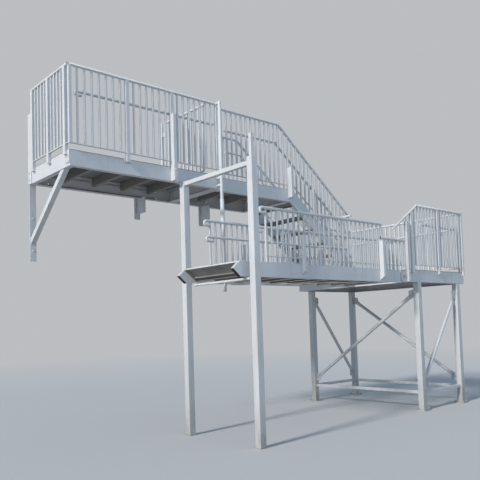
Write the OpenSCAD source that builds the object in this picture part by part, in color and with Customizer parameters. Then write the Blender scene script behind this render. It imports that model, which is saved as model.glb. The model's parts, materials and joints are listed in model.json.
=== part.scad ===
// Outside escape stair: a balcony and walkway on the wall, a fixed upper flight, a landing on a
// braced tower, and a hinged lower flight that is stored level between two posts.
// X runs along the wall, Y is zero on the wall face and negative away from it, Z is up.

/* [Levels] */
// Height of the balcony deck above the ground
deck_level = 3765; // [3600:5:3900]
// Height of the landing deck above the ground
landing_level = 2330; // [2250:5:2400]
// Number of risers of the upper flight
upper_risers = 7; // [6:1:8]
// Number of treads of the lower flight
lower_treads_n = 10; // [9:1:11]
// Distance from nosing to nosing of the upper flight
going = 262; // [240:2:280]

/* [Balcony] */
// Length of the deep part of the balcony along the wall
balcony_length = 2350; // [2340:5:2500]
// Distance from the wall to the front face of the balcony
balcony_depth = 1290; // [1270:5:1310]
// Distance from the wall to the front face of the walkway and upper flight
walkway_depth = 1200; // [1190:5:1230]
// Distance from the balcony end to the nosing of the top step
deck_edge = 3970; // [3900:10:4050]
// Length of level stringer after the top step
stringer_level = 80; // [60:5:100]
// Gap between the wall line and the upper flight and landing
wall_gap = 100; // [80:5:140]

/* [Landing and tower] */
// Distance from the balcony end to the landing
landing_start = 5250; // [5220:5:5300]
// Length of the landing along the wall
landing_length = 1670; // [1600:5:1700]
// Side of the square tower posts and goal posts
post_w = 100; // [80:5:110]
// Distance from the landing end to the nearer tower posts
post_left = 245; // [200:5:280]
// Distance between the tower posts along the wall
post_span = 1225; // [1150:5:1260]
// Thickness of the base plates
base_t = 15; // [12:1:20]
// Side of the base plates
base_w = 200; // [190:5:220]
// Spacing of the anchor holes of a base plate
base_spacing = 140; // [130:5:150]

/* [Lower flight] */
// Outer width of the lower flight
flight_width = 1200; // [1100:10:1250]
// Gap between the balcony front and the lower flight
flight_gap = 162; // [150:2:190]
// Distance from the balcony end to the hinge
pivot_x = 5064; // [5050:2:5080]
// Height of the hinge above the ground
pivot_z = 2207; // [2190:1:2220]
// Distance from the hinge to the corners of the foot
foot_corner = 3494; // [3470:2:3500]
// Distance from the hinge to the point of the foot
foot_point = 3611; // [3590:2:3620]
// Diameter of the hinge pins
pin_d = 32; // [28:1:36]
// Radial clearance of the hinge pins
pin_fit = 0.06; // [0.03:0.01:0.09]
// Side clearance between the hinge cheeks and lugs
side_clear = 6; // [5:1:8]

/* [Sections] */
// Depth of the edge channels and stringers
channel_h = 200; // [180:5:210]
// Flange width of the edge channels
channel_b = 75; // [60:5:90]
// Thickness of the edge channels
channel_t = 10; // [8:1:12]
// Thickness of the stringers
stringer_t = 50; // [40:2:60]
// Thickness of cheeks and wall plates
plate_t = 12; // [10:1:15]
// Width of the box stanchions along the guard
stanchion_b = 50; // [40:1:55]
// Depth of the large stanchions
stanchion_w = 100; // [80:5:110]
// Thickness of the deck plates
deck_t = 6; // [5:1:8]
// Depth of the treads
tread_depth = 250; // [230:2:256]
// Thickness of the treads
tread_t = 40; // [30:1:45]

/* [Guards] */
// Height of the guard rail above a deck
guard_h = 1100; // [1050:5:1150]
// Height of the guard rail square above the lower stringers
flight_guard_h = 728; // [700:2:760]
// Diameter of the guard rail
rail_d = 42; // [38:1:48]
// Diameter of the handrail
hand_d = 34; // [30:1:38]
// Drop from the top of the guard rail to the handrail centre
hand_drop = 315; // [280:5:340]
// Drop from the top of the guard rail to the handrail centre on the lower flight
flight_hand_drop = 198; // [180:2:220]
// Distance from the balusters to the handrail centre
hand_offset = 85; // [75:1:95]
// Distance from the balcony end to the plain post of the front guard
front_post = 812; // [790:2:830]
// Distance from the balcony end to the stanchion of the front guard
front_stanchion = 1525; // [1500:5:1550]
// Width of the guard posts
guard_post_w = 50; // [45:1:60]
// Thickness of the guard posts
guard_post_t = 40; // [36:1:44]
// Side of the square balusters
baluster_w = 22; // [18:1:24]
// Aimed spacing of the balusters
baluster_pitch = 104; // [98:1:112]
// Gap under the bottom rail
toe_gap = 70; // [60:2:80]
// Thickness of the bottom rail
toe_h = 12; // [10:1:16]

/* [Goal posts and gate] */
// Distance from the corners of the foot to the middle of the goal posts
goal_inset = 122; // [100:2:140]
// Height of the outer goal post above the crossbar
goal_rise = 41; // [20:1:60]
// Height of the thin mast above the outer goal post
mast_h = 300; // [250:10:350]
// Side of the mast
mast_w = 45; // [40:1:50]
// Diameter of the thick part of the upright tube
tube_d = 61; // [55:1:70]
// Diameter of the thin part of the upright tube
tube_thin_d = 48; // [42:1:50]
// Distance from the balcony's underside to the foot of the upright tube
tube_drop = 1556; // [1500:5:1600]
// Distance from the balcony's underside to the top of the tube's thick part
shoulder_drop = 181; // [150:5:210]
// Distance from the balcony end to the gate
gate_x = 2204; // [2180:2:2220]
// Distance from the hinge of the gate to its free end
gate_reach = 1086; // [1060:2:1090]

/* [Hidden] */

// Slopes and levels
upper_riser = (deck_level - landing_level) / upper_risers;
pitch = atan(upper_riser / going);
tp = tan(pitch);
half_h = channel_h / 2;
deck_under = deck_level - deck_t;
deck_low = deck_under - channel_h;
landing_under = landing_level - deck_t;
landing_low = landing_under - channel_h;

// Angle that the lower flight turns through until its foot stands on the ground
ground_clear = 4;
foot_radius = sqrt(foot_corner * foot_corner + half_h * half_h);
fold = asin((pivot_z - ground_clear) / foot_radius) - atan(half_h / foot_corner);

// Plan lines
front_y = -balcony_depth;
walk_y = -walkway_depth;
wall_y = -wall_gap;
far_y = front_y - flight_gap;
near_y = far_y - flight_width;
landing_end = landing_start + landing_length;
bend_x = deck_edge + stringer_level;

// Guard lines
guard_offset = guard_post_t / 2;
guard_y = front_y - guard_offset;
end_guard_x = -guard_offset;
rail_z = guard_h - rail_d / 2;
hand_z = guard_h - hand_drop;
slope_rise = 846;
knee_x = bend_x - (rail_z + deck_t - slope_rise) / tp;
upper_foot_x = landing_start + 330;
stanchion_top = hand_z;
box_top = 750;
foot_drop = 60;

// Weld bead that stands out where rails meet at an angle
bead = 2;
inset = 40;

// Length of the short pieces that turn a rail round a corner
corner_stub = 50;

// The frame's origin is the middle of the wall face of the balcony frame
origin_x = balcony_length / 2;
origin_z = deck_low + half_h;

module site() {
    translate([-origin_x, 0, -origin_z]) children();
}

// Box between two opposite corners
module box(a, b) {
    translate([min(a[0], b[0]), min(a[1], b[1]), min(a[2], b[2])])
        cube([abs(a[0] - b[0]), abs(a[1] - b[1]), abs(a[2] - b[2])]);
}

// Round bar along X
module bar_x(x0, x1, y, z, d) {
    translate([x0, y, z]) rotate([0, 90, 0]) cylinder(d = d, h = x1 - x0, $fn = 24);
}

// Round bar along Y
module bar_y(y0, y1, x, z, d) {
    translate([x, max(y0, y1), z]) rotate([90, 0, 0]) cylinder(d = d, h = abs(y1 - y0), $fn = 24);
}

// Round bar between two points of one upright plane, given as X and Z
module bar_xz(p, q, y, d) {
    run = q[0] - p[0];
    rise = q[1] - p[1];
    translate([p[0], y, p[1]]) rotate([0, 90 - atan2(rise, run), 0])
        cylinder(d = d, h = norm([run, rise]), $fn = 24);
}

// Ring of edge channels with their flanges turned in
module channel_ring(length, width) {
    t = channel_t;
    difference() {
        cube([length, width, channel_h]);
        translate([t, t, t]) cube([length - 2 * t, width - 2 * t, channel_h - 2 * t]);
        translate([channel_b, channel_b, -1])
            cube([length - 2 * channel_b, width - 2 * channel_b, channel_h + 2]);
    }
}

// Joists along Y between the flanges of a ring that starts at x = 0 and y = 0
joist_w = 50;
joist_h = 120;
module ring_joists(length, width, count) {
    for (i = [1:count])
        translate([i * length / (count + 1) - joist_w / 2, channel_b, channel_h - joist_h])
            cube([joist_w, width - 2 * channel_b, joist_h]);
}

// Balusters and bottom rail along X from x0 to x1; the end uprights start at foot, the others at low
function baluster_count(x0, x1) = round((x1 - x0 - baluster_w) / baluster_pitch);
module panel(x0, x1, foot, low, top) {
    w = baluster_w;
    n = baluster_count(x0, x1);
    step = (x1 - x0 - w) / n;
    for (i = [0:n]) {
        z = (i == 0 || i == n) ? foot : low;
        translate([x0 + i * step, -w / 2, z]) cube([w, w, top - z]);
    }
    translate([x0, -w / 2, toe_gap]) cube([x1 - x0, w, toe_h]);
}

// Small arms that carry a handrail on the +Y side
arm_d = 14;
module arms(xs, z) {
    for (x = xs) bar_y(0, hand_offset, x, z, arm_d);
}

// Rail end that turns down at x and runs back to stop
bend_r = 29;
hand_bend_r = 24;
module return_bend(x, stop, z, r, d) {
    translate([x, 0, z - r]) rotate([90, 0, 0]) rotate([0, 0, 90]) rotate_extrude(angle = 180, $fn = 32)
        translate([r, 0]) circle(d = d, $fn = 24);
    bar_x(x, stop, 0, z - 2 * r, d);
}

// Balusters and bottom rail between two posts; half0 and half1 are half the widths of the posts
module infill(x0, x1, half0, half1, low, top) {
    w = baluster_w;
    n = round((x1 - x0) / baluster_pitch);
    step = (x1 - x0) / n;
    for (i = [1:n - 1]) translate([x0 + i * step - w / 2, -w / 2, low]) cube([w, w, top - low]);
    translate([x0 + half0, -w / 2, toe_gap]) cube([x1 - half1 - x0 - half0, w, toe_h]);
}

// Guard post in the plane y = 0
module guard_post(x, low, top, width) {
    t = guard_post_t;
    translate([x - width / 2, -t / 2, low]) cube([width, t, top - low]);
}

// Box stanchion with its inner face at y = 0, reaching out to y = -deep
module stanchion(deep, high) {
    translate([-stanchion_b / 2, -deep, 0]) cube([stanchion_b, deep, high]);
}

// Balcony and walkway
wall_hole_d = 18;
wall_hole_x = 900;
wall_hole_z = 50;
module wall_hole(x, z) {
    translate([x, 1, z]) rotate([90, 0, 0]) cylinder(d = wall_hole_d, h = channel_t + 2);
}

module balcony_frame() {
    color("gainsboro") site() difference() {
        translate([0, front_y, deck_low]) channel_ring(balcony_length, balcony_depth);
        for (dx = [-wall_hole_x, wall_hole_x], dz = [-wall_hole_z, wall_hole_z])
            wall_hole(origin_x + dx, origin_z + dz);
    }
}

module balcony_joists() {
    color("gray") site() translate([0, front_y, deck_low]) ring_joists(balcony_length, balcony_depth, 4);
}

module balcony_deck() {
    color("darkgray") site() box([0, 0, deck_under], [balcony_length, front_y, deck_level]);
}

walk_hole_x = [2600, 3100];
module walkway_frame() {
    color("gainsboro") site() difference() {
        translate([balcony_length, walk_y, deck_low]) channel_ring(deck_edge - balcony_length, walkway_depth);
        for (x = walk_hole_x) wall_hole(x, origin_z);
    }
}

module walkway_joists() {
    color("gray") site() translate([balcony_length, walk_y, deck_low])
        ring_joists(deck_edge - balcony_length, walkway_depth, 2);
}

module walkway_deck() {
    color("darkgray") site() box([balcony_length, 0, deck_under], [deck_edge, walk_y, deck_level]);
}

// Guards of the balcony
tube_x = balcony_length - 15;
tube_y = front_y - 100;
module corner_turn(x, y, z, d) {
    translate([x, y, z]) sphere(d = d + bead, $fn = 24);
    bar_y(y, y + corner_stub, x, z, d);
}

module balcony_front_guard() {
    half = guard_post_w / 2;
    end_x = tube_x - baluster_w / 2;
    hand_x = 134;
    second = front_post / 4;
    foot_w = 120;
    foot_h = 45;
    color("white") site() difference() {
        translate([0, guard_y, deck_level]) {
            guard_post(0, toe_gap, rail_z, guard_post_t);
            infill(0, front_post, 0, half, toe_gap, rail_z);
            guard_post(front_post, -foot_h, rail_z, guard_post_w);
            translate([front_post - foot_w / 2, guard_offset - channel_t, -foot_h])
                cube([foot_w, channel_t, foot_h]);
            infill(front_post, front_stanchion, half, stanchion_b / 2, toe_gap, rail_z);
            guard_post(front_stanchion, box_top, rail_z, guard_post_w + 5);
            infill(front_stanchion, end_x, stanchion_b / 2, 0, toe_gap, rail_z);
            guard_post(end_x, toe_gap, rail_z, baluster_w);
            bar_x(end_guard_x, tube_x, 0, rail_z, rail_d);
            corner_turn(end_guard_x, 0, rail_z, rail_d);
            translate([0, hand_offset, 0]) {
                bar_x(hand_x, end_x, 0, hand_z, hand_d);
                return_bend(hand_x, second, hand_z, hand_bend_r, hand_d);
            }
            arms([second, front_post, front_stanchion, end_x], hand_z);
            bar_y(0, tube_y - guard_y, tube_x, rail_z, rail_d);
            translate([tube_x, 0, rail_z]) sphere(d = rail_d, $fn = 24);
        }
        translate([tube_x, tube_y, deck_level]) cylinder(d = tube_thin_d, h = 2 * guard_h);
    }
}

module balcony_stanchions() {
    color("white") site() {
        translate([front_stanchion, front_y, deck_low]) stanchion(stanchion_w, channel_h + deck_t + box_top);
        box([0, -5, deck_low], [-plate_t, -5 - stanchion_w, deck_level + stanchion_top]);
    }
}

// Posts of the end guard, measured from the wall
end_posts = [200, 200 + 0.505 * (balcony_depth - 277), balcony_depth - 77];
end_post_w = 60;
module balcony_end_guard() {
    half = end_post_w / 2;
    first = end_posts[0] - half;
    wall_stop = 5 + stanchion_w;
    cleat_z = [toe_gap, stanchion_top - 100];
    plate_low = 167;
    color("white") site() translate([end_guard_x, 0, deck_level]) rotate([0, 0, -90]) {
        for (x = end_posts) guard_post(x, -foot_drop, rail_z, end_post_w);
        for (i = [0:1]) infill(end_posts[i], end_posts[i + 1], half, half, toe_gap, rail_z);
        translate([end_posts[2], -baluster_w / 2, toe_gap])
            cube([balcony_depth - end_posts[2], baluster_w, toe_h]);
        bar_x(first, -guard_y - corner_stub, 0, rail_z, rail_d);
        for (z = cleat_z) translate([wall_stop, guard_offset - plate_t, z])
            cube([first - wall_stop, plate_t - 2, hand_d]);
        translate([end_posts[2] - half, guard_offset - channel_t, -plate_low])
            cube([balcony_depth - end_posts[2] + half, channel_t, plate_low - 5]);
    }
}

// Supports of the balcony on the wall
leg_bottom = 1075;
leg_w = 90;
leg_holes = [150, 600];
strut_w = 70;
strut_x = 10;
module strut_wall_leg() {
    color("white") site() difference() {
        box([0, 0, deck_low - leg_bottom], [leg_w, -plate_t, deck_low]);
        for (z = leg_holes) wall_hole(leg_w / 2, deck_low - leg_bottom + z);
    }
}

module corner_strut() {
    reach = 1040;
    drop = 790;
    a = atan(drop / reach);
    color("white") site() intersection() {
        translate([strut_x, -plate_t, deck_low - drop]) rotate([180 - a, 0, 0])
            translate([0, -strut_w * 3, -strut_w / 2]) cube([strut_w, 2 * reach, strut_w]);
        box([0, -plate_t, deck_low], [strut_x + 2 * strut_w, front_y - strut_w, deck_low - drop - 2 * strut_w]);
    }
}

bracket_x = [balcony_length - 630, balcony_length + 630];
bracket_w = 100;
bracket_h = 1.65 * channel_h;
bracket_reach = 1.25 * channel_h;
module wall_brackets() {
    color("white") site()
        for (x = bracket_x) {
            box([x - bracket_w / 2, 0, deck_low - bracket_h], [x + bracket_w / 2, -plate_t, deck_low]);
            box([x - plate_t / 2, -plate_t, deck_low - bracket_reach],
                [x + plate_t / 2, -bracket_reach, deck_low]);
        }
}

// Upper flight: the stringers meet the end of the walkway frame and stand on the landing
module upper_stringer(y) {
    plumb = channel_h / cos(pitch);
    tip = 30;
    toe_x = bend_x + (deck_under - landing_level) / tp;
    heel_x = toe_x - plumb / tp;
    low_bend_x = bend_x - (plumb - channel_h) / tp;
    translate([0, y, 0]) rotate([90, 0, 0]) linear_extrude(stringer_t)
        polygon([[deck_edge, deck_under], [bend_x, deck_under], [toe_x - tip / tp, landing_level + tip],
                 [toe_x - tip / tp, landing_level], [heel_x, landing_level], [low_bend_x, deck_low],
                 [deck_edge, deck_low]]);
}

module upper_front_stringer() {
    color("gainsboro") site() upper_stringer(walk_y + stringer_t);
}

module upper_wall_stringer() {
    color("gainsboro") site() upper_stringer(wall_y);
}

module upper_treads() {
    color("darkgray") site()
        for (i = [1:upper_risers - 1]) {
            x = deck_edge + i * going;
            z = deck_level - i * upper_riser;
            box([x - tread_depth, wall_y - stringer_t, z - tread_t], [x, walk_y + stringer_t, z]);
        }
}

// Guard along the walkway and down the upper flight, in the plane y = 0, handrail at y = hand_y
module upper_guard(start, hand_start, hand_y) {
    w = baluster_w;
    n = round((upper_foot_x - knee_x) / baluster_pitch);
    step = (upper_foot_x - w / 2 - knee_x) / n;
    function rail_at(x) = deck_level + rail_z - max(0, x - knee_x) * tp;
    function edge_at(x) = deck_under - max(0, x - bend_x) * tp;
    hand = rail_z - hand_z;
    translate([0, 0, deck_level]) panel(start, knee_x, 0, toe_gap, rail_z);
    bar_x(start, knee_x, 0, rail_at(start), rail_d);
    translate([knee_x, 0, rail_at(knee_x)]) sphere(d = rail_d + bead, $fn = 24);
    bar_xz([knee_x, rail_at(knee_x)], [upper_foot_x, rail_at(upper_foot_x)], 0, rail_d);
    translate([upper_foot_x, 0, rail_at(upper_foot_x)]) sphere(d = rail_d + bead, $fn = 24);
    bar_x(hand_start, knee_x, hand_y, rail_at(start) - hand, hand_d);
    translate([knee_x, hand_y, rail_at(knee_x) - hand]) sphere(d = hand_d + bead, $fn = 24);
    bar_xz([knee_x, rail_at(knee_x) - hand], [upper_foot_x, rail_at(upper_foot_x) - hand], hand_y, hand_d);
    difference() {
        union() {
            for (i = [1:n]) {
                x = knee_x + i * step;
                low = x < deck_edge ? deck_level : edge_at(x + w / 2);
                translate([x - w / 2, -w / 2, low]) cube([w, w, rail_at(x) - low]);
            }
            translate([bend_x, -w / 2, deck_under]) rotate([0, pitch, 0]) translate([0, 0, toe_gap])
                cube([(upper_foot_x - bend_x) / cos(pitch) + toe_gap * tp, w, toe_h]);
        }
        translate([bend_x, -w, deck_under]) rotate([0, pitch, 0]) translate([0, 0, -channel_h])
            cube([2 * (upper_foot_x - bend_x), 2 * w, channel_h]);
        translate([deck_edge, -w, deck_low]) cube([stringer_level, 2 * w, channel_h]);
        translate([upper_foot_x, -w, 0]) cube([w * 20, 2 * w, deck_level]);
    }
    translate([knee_x, -w / 2, deck_level + toe_gap]) cube([bend_x - knee_x + 60, w, toe_h]);
    arms_at = [knee_x - w / 2, knee_x + 8 * step, upper_foot_x - w / 2];
    for (x = arms_at) bar_y(0, hand_y, x, rail_at(x) - hand, arm_d);
}

gate_sweep_x = gate_x + 436;
module upper_front_guard() {
    color("white") site() translate([0, walk_y + baluster_w / 2, 0])
        upper_guard(balcony_length + 60, gate_sweep_x, hand_offset);
}

wall_guard_start = deck_edge - 640;
module upper_wall_guard() {
    color("white") site() translate([0, wall_y - baluster_w / 2, 0])
        upper_guard(wall_guard_start, wall_guard_start + 70, -hand_offset);
}

upper_post_x = [deck_edge - 27, bend_x + 480];
upper_post_top = [365, 454];
module upper_stanchions() {
    small = stanchion_b;
    low = deck_under - (upper_post_x[1] - bend_x) * tp;
    color("white") site() {
        translate([upper_post_x[0], walk_y, deck_low + foot_drop])
            stanchion(stanchion_w, channel_h + deck_t - foot_drop + upper_post_top[0]);
        translate([upper_post_x[1], walk_y, low - foot_drop]) stanchion(small, foot_drop + upper_post_top[1]);
    }
}

// Landing
module landing_frame() {
    color("gainsboro") site() translate([landing_start, near_y, landing_low])
        channel_ring(landing_length, wall_y - near_y);
}

module landing_joists() {
    color("gray") site() translate([landing_start, near_y, landing_low])
        ring_joists(landing_length, wall_y - near_y, 3);
}

module landing_deck() {
    color("darkgray") site() box([landing_start, wall_y, landing_under], [landing_end, near_y, landing_level]);
}

// Front guard of the landing: its top rail is level from rake_x on and falls beyond it
landing_guard_y = near_y - guard_offset;
landing_guard_x = landing_end - inset;
rake_x = landing_start + 220;
rake_low_x = landing_start - 477;
rake_slope = 0.65;
function rake_z(x) = rail_z - max(0, rake_x - x) * rake_slope;
module rake_bar() {
    bar_xz([rake_low_x, rake_z(rake_low_x)], [rake_x, rail_z], 0, hand_d);
    translate([rake_low_x, 0, rake_z(rake_low_x)]) sphere(d = hand_d + bead, $fn = 24);
    translate([rake_x, 0, rail_z]) sphere(d = rail_d + bead, $fn = 24);
}

module landing_front_guard() {
    w = baluster_w;
    x0 = landing_start + inset;
    mid = (x0 + landing_guard_x) / 2;
    n = 2 * round((mid - x0) / baluster_pitch);
    step = (landing_guard_x - x0) / n;
    color("white") site() translate([0, landing_guard_y, landing_level]) difference() {
        union() {
            for (i = [1:n - 1]) if (i != n / 2) {
                x = x0 + i * step;
                translate([x - w / 2, -w / 2, toe_gap]) cube([w, w, rake_z(x) - toe_gap]);
            }
            guard_post(x0, -foot_drop, rake_z(x0), guard_post_w);
            guard_post(mid, -foot_drop, rail_z, guard_post_w);
            guard_post(landing_guard_x, -foot_drop, rail_z, guard_post_t);
            translate([x0, -w / 2, toe_gap]) cube([landing_guard_x - x0, w, toe_h]);
            bar_x(rake_x, landing_guard_x, 0, rail_z, rail_d);
            corner_turn(landing_guard_x, 0, rail_z, rail_d);
            bar_x(mid - 4 * step, landing_guard_x - 2 * inset, hand_offset, hand_z, hand_d);
            arms([mid - 3 * step, mid, landing_guard_x - 2 * step], hand_z);
        }
        rake_bar();
    }
}

module landing_end_guard() {
    w = baluster_w;
    y0 = near_y + inset;
    y1 = wall_y - inset - 30;
    n = baluster_count(y0, y1);
    step = (y1 - y0 - w) / n;
    color("white") site() translate([landing_guard_x, 0, landing_level]) rotate([0, 0, 90]) {
        panel(y0, y1, 0, toe_gap, rail_z);
        bar_x(landing_guard_y + corner_stub, wall_y - inset, 0, rail_z, rail_d);
        translate([wall_y - inset, 0, rail_z]) sphere(d = rail_d, $fn = 24);
        bar_x(y0 + 90, y1 - 90, hand_offset, hand_z, hand_d);
        arms([y0 + w / 2 + 2 * step, y0 + w / 2 + (n - 2) * step], hand_z);
    }
}

module landing_wall_guard() {
    x0 = upper_foot_x + 30;
    x1 = landing_guard_x - 30;
    over_foot = 150;
    foot_end = landing_start + 600;
    color("white") site() difference() {
        translate([0, wall_y - inset, landing_level]) {
            translate([0, 0, over_foot]) panel(x0, foot_end, toe_gap, toe_gap, rail_z - over_foot);
            panel(foot_end, x1, 0, toe_gap, rail_z);
            bar_x(x0, landing_guard_x, 0, rail_z, rail_d);
        }
        translate([landing_guard_x, 0, landing_level + rail_z]) {
            bar_y(wall_y - inset, wall_y - 500, 0, 0, rail_d);
            translate([0, wall_y - inset, 0]) sphere(d = rail_d, $fn = 24);
        }
    }
}

module landing_divider() {
    side = 14;
    color("white") site() translate([landing_start + 20, 0, landing_level]) rotate([0, 0, 90]) {
        panel(far_y + side, walk_y - side, 0, toe_gap, rail_z);
        bar_x(far_y + side, walk_y - side, 0, rail_z, rail_d);
    }
}

module raking_handrail() {
    color("white") site() translate([0, landing_guard_y, landing_level]) {
        rake_bar();
        translate([hinge_post_x, 0, stanchion_top])
            cylinder(d = arm_d, h = rake_z(hinge_post_x) - stanchion_top);
    }
}

// Tower under the landing
post_x = [landing_start + post_left, landing_start + post_left + post_span];
post_y = [near_y + post_w / 2, wall_y - post_w];
base_hole_d = 18;
module tower_posts() {
    color("gainsboro") site() for (x = post_x, y = post_y) {
        difference() {
            box([x - base_w / 2, y - base_w / 2, 0], [x + base_w / 2, y + base_w / 2, base_t]);
            for (dx = [-1, 1], dy = [-1, 1])
                translate([x + dx * base_spacing / 2, y + dy * base_spacing / 2, -1])
                    cylinder(d = base_hole_d, h = base_t + 2);
        }
        box([x - post_w / 2, y - post_w / 2, base_t], [x + post_w / 2, y + post_w / 2, landing_low]);
    }
}

// Flat brace across a bay, cut to the faces of the posts
brace_low = 440;
brace_high = landing_low - 170;
module brace(span) {
    rise = brace_high - brace_low;
    w = 50;
    intersection() {
        translate([0, 0, brace_low]) rotate([0, -atan(rise / span), 0])
            translate([-2 * w, -w / 10, -w / 2]) cube([norm([span, rise]) + 4 * w, w / 5, w]);
        translate([0, -w, 0]) cube([span, 2 * w, landing_low]);
    }
}

module tower_braces() {
    span_x = post_span - post_w;
    span_y = post_y[1] - post_y[0] - post_w;
    half = post_w / 2;
    color("white") site() {
        translate([post_x[0] + half, post_y[0], 0]) brace(span_x);
        translate([post_x[1] - half, post_y[1], 0]) mirror([1, 0, 0]) brace(span_x);
        translate([post_x[0], post_y[1] - half, 0]) rotate([0, 0, -90]) brace(span_y);
        translate([post_x[1], post_y[0] + half, 0]) rotate([0, 0, 90]) brace(span_y);
    }
}

tie_z = 275;
tie_w = 50;
module tower_ties() {
    half = post_w / 2;
    color("white") site() {
        for (y = post_y)
            box([post_x[0] + half, y - tie_w / 2, tie_z], [post_x[1] - half, y + tie_w / 2, tie_z + tie_w]);
        for (x = post_x)
            box([x - tie_w / 2, post_y[0] + half, tie_z], [x + tie_w / 2, post_y[1] - half, tie_z + tie_w]);
    }
}

// Goal posts that the lower flight rises between
goal_x = pivot_x - foot_corner + goal_inset;
goal_in_y = front_y - post_w / 2;
goal_out_y = near_y - 88 - post_w / 2;
cap_t = 10;
module goal_post_inner() {
    half = post_w / 2;
    color("gainsboro") site() {
        box([goal_x - half, goal_in_y - half, 0], [goal_x + half, goal_in_y + half, deck_low - cap_t]);
        box([goal_x - half, goal_in_y - half, deck_low - cap_t],
            [goal_x + half, front_y + channel_b, deck_low]);
    }
}

module goal_post_outer() {
    half = post_w / 2;
    thin = mast_w / 2;
    top = deck_low + goal_rise;
    color("gainsboro") site() {
        box([goal_x - half, goal_out_y - half, 0], [goal_x + half, goal_out_y + half, top]);
        box([goal_x - thin, goal_out_y - thin, top], [goal_x + thin, goal_out_y + thin, top + mast_h]);
    }
}

bar_w = 60;
module goal_crossbar() {
    color("gainsboro") site()
        box([goal_x - bar_w / 2, goal_in_y - post_w / 2, deck_low - bar_w],
            [goal_x + bar_w / 2, goal_out_y + post_w / 2, deck_low]);
}

tube_bottom = deck_low - tube_drop;
tube_shoulder = deck_low - shoulder_drop;
module upright_tube() {
    top = deck_level + guard_h + 5;
    lug = 30;
    color("white") site() {
        translate([tube_x, tube_y, tube_bottom]) cylinder(d = tube_d, h = tube_shoulder - tube_bottom);
        translate([tube_x, tube_y, tube_shoulder]) cylinder(d = tube_thin_d, h = top - tube_shoulder);
        for (z = [deck_low + lug, deck_under - 2 * lug])
            box([tube_x - lug / 2, front_y, z], [tube_x + lug / 2, tube_y, z + lug]);
    }
}

// Hinge of the lower flight: a cheek with its pin on each side of the landing
cheek_r = 90;
lug_t = 24;
lug_r = 60;
stringer_gap = 104;
module hinge_cheek() {
    head = 8;
    translate([pivot_x, 0, pivot_z]) rotate([-90, 0, 0]) cylinder(r = cheek_r, h = plate_t);
    box([pivot_x, 0, landing_low], [landing_start, plate_t, pivot_z + cheek_r]);
    translate([pivot_x, plate_t, pivot_z]) rotate([-90, 0, 0]) cylinder(d = pin_d, h = stringer_t - plate_t);
    translate([pivot_x, 0, pivot_z]) rotate([90, 0, 0]) cylinder(d = pin_d + 18, h = head);
}

hinge_post_x = pivot_x + 88;
module hinge_cheeks() {
    color("silver") site() {
        translate([0, near_y, 0]) hinge_cheek();
        translate([0, far_y, 0]) mirror([0, 1, 0]) hinge_cheek();
        translate([hinge_post_x, near_y, landing_low])
            stanchion(guard_post_w, landing_level - landing_low + stanchion_top);
    }
}

// Gate across the walkway, hinged near the wall
gate_axis_y = -90;
gate_pin_d = 16;
knuckle_d = 30;
knuckle_h = 50;
gate_levels = [220, 860];
module gate_post() {
    post_d = 50;
    post_y0 = -post_d / 2 - 5;
    lug = 12;
    color("white") site() translate([gate_x, 0, deck_level]) {
        translate([0, post_y0, 0]) cylinder(d = post_d, h = guard_h);
        for (z = gate_levels) {
            box([-knuckle_d / 2, post_y0, z], [knuckle_d / 2, gate_axis_y, z + lug]);
            translate([0, gate_axis_y, z]) cylinder(d = knuckle_d, h = lug);
            translate([0, gate_axis_y, z + lug]) cylinder(d = gate_pin_d, h = knuckle_h);
        }
    }
}

module gate_leaf() {
    lug = 12;
    rest = 0.4;
    stile = 30;
    color("white") site() translate([gate_x, gate_axis_y, deck_level]) {
        difference() {
            for (z = gate_levels) {
                translate([0, 0, z + lug + rest]) cylinder(d = knuckle_d, h = knuckle_h);
                box([-6, 0, z + lug + rest], [6, -stile - 5, z + lug + rest + knuckle_h]);
            }
            for (z = gate_levels)
                translate([0, 0, z - 1]) cylinder(d = gate_pin_d + 2 * pin_fit, h = knuckle_h + 4 * lug);
        }
        rotate([0, 0, -90]) {
            panel(stile, gate_reach - 20, toe_gap, toe_gap, rail_z);
            bar_x(stile, gate_reach - rail_d / 2, 0, rail_z, rail_d);
            translate([gate_reach - rail_d / 2, 0, rail_z]) sphere(d = rail_d, $fn = 24);
        }
    }
}

// Lower flight in its own frame: hinge at the origin, foot towards -X, drawn level
module on_flight() {
    site() translate([pivot_x, 0, pivot_z]) children();
}

module lower_stringer(y) {
    translate([0, y, 0]) rotate([90, 0, 0]) linear_extrude(stringer_t)
        polygon([[-foot_point, 0], [-foot_corner, half_h], [-stringer_gap, half_h], [-stringer_gap, -half_h],
                 [-foot_corner, -half_h]]);
}

module lower_near_stringer() {
    color("gainsboro") on_flight() lower_stringer(near_y + stringer_t);
}

module lower_far_stringer() {
    color("gainsboro") on_flight() lower_stringer(far_y);
}

module hinge_lug() {
    y0 = plate_t + side_clear;
    difference() {
        union() {
            translate([0, y0, 0]) rotate([-90, 0, 0]) cylinder(r = lug_r, h = lug_t);
            box([-stringer_gap, y0, -lug_r], [0, y0 + lug_t, lug_r]);
        }
        translate([0, y0 - 1, 0]) rotate([-90, 0, 0]) cylinder(d = pin_d + 2 * pin_fit, h = lug_t + 2);
    }
}

module hinge_lugs() {
    color("silver") on_flight() {
        translate([0, near_y, 0]) hinge_lug();
        translate([0, far_y, 0]) mirror([0, 1, 0]) hinge_lug();
    }
}

// Treads: the lowest has its nosing at the corner of the foot, and all are level when the flight is down
first_step = pivot_z - foot_corner * sin(fold) + half_h * cos(fold);
lower_riser = (landing_level - first_step) / lower_treads_n;
tread_step = lower_riser / sin(fold);
module lower_treads() {
    color("darkgray") on_flight()
        for (i = [0:lower_treads_n - 1])
            translate([-foot_corner + i * tread_step, near_y + stringer_t, half_h]) rotate([0, fold, 0])
                translate([0, 0, -tread_t]) cube([tread_depth, flight_width - 2 * stringer_t, tread_t]);
}

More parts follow.
